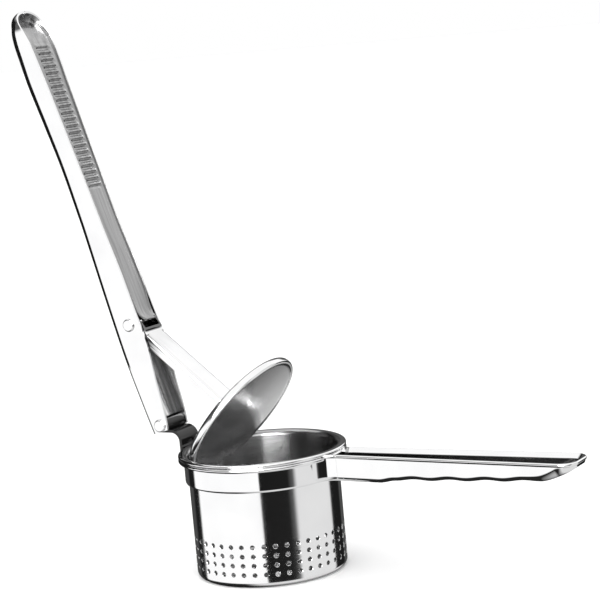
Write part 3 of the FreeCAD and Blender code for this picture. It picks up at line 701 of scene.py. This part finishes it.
def make_hem():
    """Rolled top edge of the handle, a bead that follows the plan outline."""
    stations = even(HEM_START, ROOT_END, 20) + even(ROOT_END, HEM_NOSE, 20)
    stations += closing(HEM_NOSE, HANDLE_END, 12)
    outline = [Vector((x, -handle_half(x))) for x in stations]
    outline += [Vector((p.x, -p.y)) for p in reversed(outline)]
    bead_arc = arc_points((0.0, 0.0), BEAD_RADIUS, -60, 100, 10)
    section = BEAD_FOOT + [(out - BEAD_INSET, up) for out, up in bead_arc] + BEAD_SLOPE
    verts = []
    for index, point in enumerate(outline):
        ahead = outline[min(index + 1, len(outline) - 1)] - outline[max(index - 1, 0)]
        outward = Vector((ahead.y, -ahead.x)).normalized()
        for out, up in section:
            spot = point + outward * out
            verts.append((spot.x * MM, spot.y * MM, (HANDLE_TOP - BEAD_DROP + up) * MM))
    faces = grid_faces(len(outline), len(section), closed=True)
    bead = new_piece("handle_hem", verts, faces, POLISHED)
    clean(bead)
    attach(bead, ROOT_BODY)


# ---- grip strip -----------------------------------------------------------------------
STRIP_START, STRIP_END = 59.0, 242.0
STRIP_SHEET = 0.8 * MM
STRIP_STEPS, STRIP_COLUMNS = 750, 40
STRIP_LEVELS = [(59, -10.4), (61, -9.4), (64, -8.6), (70, -8.2), (80, -7.8), (100, -6.9),
                (116, -6.0), (142, -5.2), (200, -3.5), (219, -2.9), (228, -1.9), (234, 0.0),
                (239, 3.0), (242, 6.0)]
STRIP_GAP = 0.12                      # between the strip and the lever's walls
NECK_HALF, NECK_REACH = 6.6, 5.7      # the rounded end between the link's ears
NECK_START, NECK_END = 64, 80         # the strip widens between these
TIP_START, TIP_REACH, TIP_GAP = 231, 15.5, 0.5
RIBS_START, RIB_PITCH, RIB_COUNT = 141.0, 4.0, 21
RIB_HEIGHT, TROUGH_DEPTH, TROUGH_HALF = 1.15, 0.75, 6.6
EDGE_WIDTH, FLANGE_HEIGHT = 1.6, 0.8  # of the trough's edge and of the flange at the strip's edge
FULL_FLANGE_HALF = 9                  # the flange gets lower where the strip is narrower than this


def strip_half(s):
    """Half width of the strip: necked between the link's ears, then as wide as the lever allows."""
    wide = lever_half(s) - SHEET / MM - STRIP_GAP
    if s < NECK_START:
        return NECK_HALF * math.sqrt(max(1 - ((NECK_START - s) / NECK_REACH) ** 2, 0.0))
    if s < NECK_END:
        return NECK_HALF + (wide - NECK_HALF) * smooth_step(NECK_START, NECK_END, s)
    if s > TIP_START:
        return (wide - TIP_GAP) * blunt_end((s - TIP_START) / TIP_REACH, *PLAN_POWERS)
    return wide


def make_strip():
    """Ribbed strip inside the lever's open side, with a raised flange along each edge."""
    ribs_end = RIBS_START + RIB_COUNT * RIB_PITCH
    verts = []
    for index in range(STRIP_STEPS + 1):
        s = STRIP_START + (STRIP_END - STRIP_START) * index / STRIP_STEPS
        half = strip_half(s)
        fade_in = smooth_step(RIBS_START - 3, RIBS_START - 1, s)
        fade_out = 1 - smooth_step(ribs_end - 3, ribs_end + 3, s)
        wave = 0.5 + 0.5 * math.cos(2 * math.pi * (s - RIBS_START) / RIB_PITCH)
        ribbed = fade_in * fade_out * (TROUGH_DEPTH - RIB_HEIGHT * wave)
        spine = smooth_table(STRIP_LEVELS, s)
        flange = FLANGE_HEIGHT * min(half / FULL_FLANGE_HALF, 1)
        for column in range(STRIP_COLUMNS + 1):
            y = half * math.sin(math.pi / 2 * (-1 + 2 * column / STRIP_COLUMNS))
            middle = 1 - smooth_step(TROUGH_HALF - EDGE_WIDTH, TROUGH_HALF, abs(y))
            border = smooth_step(half - EDGE_WIDTH, half, abs(y))
            level = spine + ribbed * middle - flange * border
            verts.append((s * MM, y * MM, level * MM))
    faces = grid_faces(STRIP_STEPS + 1, STRIP_COLUMNS + 1)
    strip = new_piece("formed_strip", verts, faces, STRIP_STEEL, 60)
    if strip.data.polygons[0].normal.z > 0:
        strip.data.flip_normals()
    sheet = strip.modifiers.new("sheet", "SOLIDIFY")
    sheet.thickness = STRIP_SHEET
    sheet.offset = -1
    put_at_pivot(strip, joints["lever_hinge"], LEVER_ANGLE)
    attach(strip, LEVER_BODY)
    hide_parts("grip_strip")


# ---- plunger disc ---------------------------------------------------------------------
def make_disc():
    """Turned round its own Z: the working face is dished, the edge is curled and polished."""
    radius, centre = DISC_RADIUS, NEAR_AXIS * MM
    back_edge, front_edge, lip = 2.6 * MM, 1.1 * MM, 0.9 * MM
    dish = 1.9 * MM
    rings, steps = 24, 160
    profile = [(centre, DISC_DEPTH), (radius * 0.5, DISC_DEPTH)]
    profile += arc_points((radius - back_edge, DISC_DEPTH - back_edge), back_edge, 90, 0, 10)
    profile += arc_points((radius - front_edge, front_edge), front_edge, 0, -90, 8)
    profile += arc_points((radius - front_edge - 0.4 * MM, lip), lip, -90, -150, 5)
    start = profile[-1]
    for ring in range(1, rings + 1):
        share = 1 - ring / rings
        level = start[1] + dish * (1 - share ** 2)
        profile.append((max(start[0] * share, centre), level))
    verts, faces = revolve(profile, steps)
    disc = new_piece("formed_disc", verts, faces, DISC_STEEL)
    disc.data.materials.append(POLISHED)
    clean(disc, 50)
    for face in disc.data.polygons:
        spot = face.center
        brushed = math.hypot(spot.x, spot.y) < start[0] and spot.z < DISC_DEPTH * 0.7
        face.material_index = 0 if brushed else 1
    link_turn = Matrix.Rotation(-LINK_ANGLE, 4, "Y")
    lift = Matrix.Translation((LINK_LENGTH, 0, 0)) @ Matrix.Rotation(-math.pi / 2, 4, "Y")
    disc.matrix_world = Matrix.Translation(joints["link_pivot"]) @ link_turn @ lift
    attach(disc, PUSHER_BODY)
    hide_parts("plunger_disc")


# ---- rivets ---------------------------------------------------------------------------
HINGE_SHANK, LINK_SHANK = 2.45, 2.0   # radii in mm
HEAD_RADIUS, HEAD_HEIGHT, HEAD_RIM, HEAD_GAP = 3.6, 1.0, 0.8, 0.1
LINK_PIN_AT = 59                      # along the lever, from its hinge


def make_rivet(node, pivot, half, shank):
    """Rivet across the lever: a flat head with a rounded rim at each end of a plain shank."""
    seat = half + HEAD_GAP
    end = seat + HEAD_HEIGHT
    upper = [(shank, seat), (HEAD_RADIUS, seat)]
    upper += arc_points((HEAD_RADIUS - HEAD_RIM, end - HEAD_RIM), HEAD_RIM, 0, 90, 8)
    upper.append((NEAR_AXIS, end))
    lower = [(radius, -level) for radius, level in reversed(upper)]
    profile = [(radius * MM, level * MM) for radius, level in lower + upper]
    verts, faces = revolve(profile, 48)
    piece = new_piece("formed_" + node, verts, faces, RIVET_STEEL)
    clean(piece)
    piece.matrix_world = Matrix.Translation(pivot) @ Matrix.Rotation(math.pi / 2, 4, "X")
    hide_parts(node)
    return piece


# ---- CAD nodes that keep their shape --------------------------------------------------
def dress(node, material):
    piece = frame["nodes"][node]
    piece.data.materials.clear()
    piece.data.materials.append(material)


# ---- studio ---------------------------------------------------------------------------
def make_floor():
    bpy.ops.mesh.primitive_plane_add(size=40.0, location=(0, 0, 0))
    floor = bpy.context.object
    floor.name = "studio_floor"
    material = bpy.data.materials.new("pale_floor")
    tree = NodeTree(material)
    shader = tree.nodes["Principled BSDF"].inputs
    shader["Roughness"].default_value = 0.6
    mottle = tree.add("TexNoise", {"Scale": 8.0}).outputs["Fac"]
    tree.feed(shader["Base Color"], tree.ramp(mottle, [(0.0, (0.93,) * 3), (1.0, (0.96,) * 3)]))
    floor.data.materials.append(material)
    floor.visible_glossy = False


# (angle, radiance) round the horizon. Angles are in degrees from the photo's side of the object,
# counter-clockwise from above. They are fixed in the world and don't follow the camera. Two stops
# at one angle make a hard edge.
LOW_PANELS = [(-180, 0.07), (-143, 0.07), (-138, 0.012), (-123, 0.012), (-119, 1.15), (-8, 1.15),
              (-8, 0.012), (34, 0.015), (42, 0.12), (48, 0.85), (113, 0.85), (116, 0.012),
              (145, 0.012), (149, 0.08), (180, 0.07)]
HIGH_PANELS = [(-180, 0.10), (-135, 0.10), (-120, 0.12), (-48, 0.12), (-40, 11.0), (-5, 11.0), (1, 1.8),
               (20, 1.2), (50, 0.04), (58, 0.75), (112, 0.8), (122, 1.15), (152, 1.15), (158, 0.10),
               (180, 0.10)]
CAMERA_SIDE = -59.6                    # the photo's side, in degrees from +X
HORIZON_TO_HIGH = (-1, 9)              # elevations, in degrees, that one zone gives way to the next
HIGH_TO_CEILING = (32, 44)
HORIZON_TO_LOWER = (-20, -30)
LOWER_SPAN = (-0.25, 0.10)             # world X of the dark and of the light end below the horizon
LOWER_TONES = (0.02, 0.80)
CEILING = (1.1, 1.1, 1.1, 1)
PLAIN_WHITE = (1.0, 1.0, 1.0, 1)


def panels_round(tree, around, panels):
    """Radiance against the angle round the horizon, which runs from 0 to 1."""
    return tree.ramp(around, [((angle + 180) / 360, (level,) * 3) for angle, level in panels])


def make_world():
    """Plain white, but reflections see panels and dark flags round the horizon under a ceiling."""
    world = bpy.data.worlds.new("studio")
    tree = NodeTree(world)
    bpy.context.scene.world = world
    x, y, z = tree.split(tree.add("TexCoord", {}).outputs["Generated"])

    def rise(elevations):
        low, high = [math.sin(math.radians(elevation)) for elevation in elevations]
        return tree.between(z, low, high, smooth=True)

    shift = math.radians(-CAMERA_SIDE + 180)
    turn = tree.calculate("ADD", tree.calculate("ARCTAN2", y, x), shift)
    around = tree.calculate("FRACT", tree.calculate("DIVIDE", turn, 2 * math.pi))
    below = tree.between(x, *LOWER_SPAN, *LOWER_TONES)
    lower = tree.mix(rise(HORIZON_TO_LOWER), panels_round(tree, around, LOW_PANELS), below)
    upper = tree.mix(rise(HIGH_TO_CEILING), panels_round(tree, around, HIGH_PANELS), CEILING)
    surroundings = tree.mix(rise(HORIZON_TO_HIGH), lower, upper)
    glossy = tree.add("LightPath", {}).outputs["Is Glossy Ray"]
    background = tree.nodes["Background"].inputs
    tree.feed(background["Color"], tree.mix(glossy, PLAIN_WHITE, surroundings))
    background["Strength"].default_value = 1.0


def make_lights():
    """Broad soft light from nearly straight above, for the floor and the contact shadow."""
    spread, tilt_x, tilt_y = (math.radians(angle) for angle in (80, 12, -10))
    data = bpy.data.lights.new("overhead", "SUN")
    data.angle = spread
    data.energy = 1.5
    light = bpy.data.objects.new("overhead", data)
    light.rotation_euler = (tilt_x, tilt_y, 0)
    light.visible_glossy = False
    bpy.context.scene.collection.objects.link(light)


def make_flag(name, low, high, level=0.01):
    """Upright dark card facing the object that only shows in reflections."""
    verts = [(low[0], low[1], low[2]), (high[0], high[1], low[2]),
             (high[0], high[1], high[2]), (low[0], low[1], high[2])]
    material = bpy.data.materials.new(name)
    tree = NodeTree(material)
    tree.nodes.remove(tree.nodes["Principled BSDF"])
    glow = tree.add("Emission", {"Strength": level})
    tree.feed(tree.nodes["Material Output"].inputs["Surface"], glow.outputs["Emission"])
    card = new_piece(name, verts, [(0, 1, 2, 3)], material)
    card.visible_camera = False
    card.visible_diffuse = False
    card.visible_shadow = False


CAMERA_AT = (0.5676, -0.9129, 0.2958)
CAMERA_TURN = (30.37, 7.85, -5.16)     # azimuth from -Y, elevation and roll, in degrees
SENSOR_WIDTH, FOCAL_LENGTH = 36.0, 119.4
NEAREST_SEEN = 0.05


def make_camera():
    """Long lens, well above the cup's rim, rolled slightly."""
    data = bpy.data.cameras.new("camera")
    data.sensor_width = SENSOR_WIDTH
    data.lens = FOCAL_LENGTH
    data.clip_start = NEAREST_SEEN
    camera = bpy.data.objects.new("camera", data)
    bpy.context.scene.collection.objects.link(camera)
    azimuth, elevation, roll = (math.radians(angle) for angle in CAMERA_TURN)
    back = Vector((math.sin(azimuth) * math.cos(elevation),
                   -math.cos(azimuth) * math.cos(elevation), math.sin(elevation)))
    level = Vector((math.cos(azimuth), math.sin(azimuth), 0))
    above = back.cross(level)
    right = level * math.cos(roll) + above * math.sin(roll)
    up = above * math.cos(roll) - level * math.sin(roll)
    turn = Matrix((right, up, back)).transposed().to_4x4()
    camera.matrix_world = Matrix.Translation(CAMERA_AT) @ turn
    bpy.context.scene.camera = camera


make_cup()
make_collar()
make_handle()
make_hem()
make_lever()
make_strip()
make_disc()
dress("hinge_bracket", BRACKET_STEEL_PAINTED_SHADE)
dress("push_link", LINK_STEEL_PAINTED_REFLECTION)
hinge_rivet = make_rivet("hinge_rivet", joints["lever_hinge"], lever_half(0), HINGE_SHANK)
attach(hinge_rivet, ROOT_BODY)
link_rivet = make_rivet("link_rivet", joints["link_pivot"], lever_half(LINK_PIN_AT), LINK_SHANK)
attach(link_rivet, LEVER_BODY)
make_floor()
make_world()
make_lights()
make_flag("side_flag", (-0.40, -0.15, 0.02), (-0.40, 0.30, 0.45))
make_camera()
bpy.context.scene.view_settings.view_transform = "Standard"
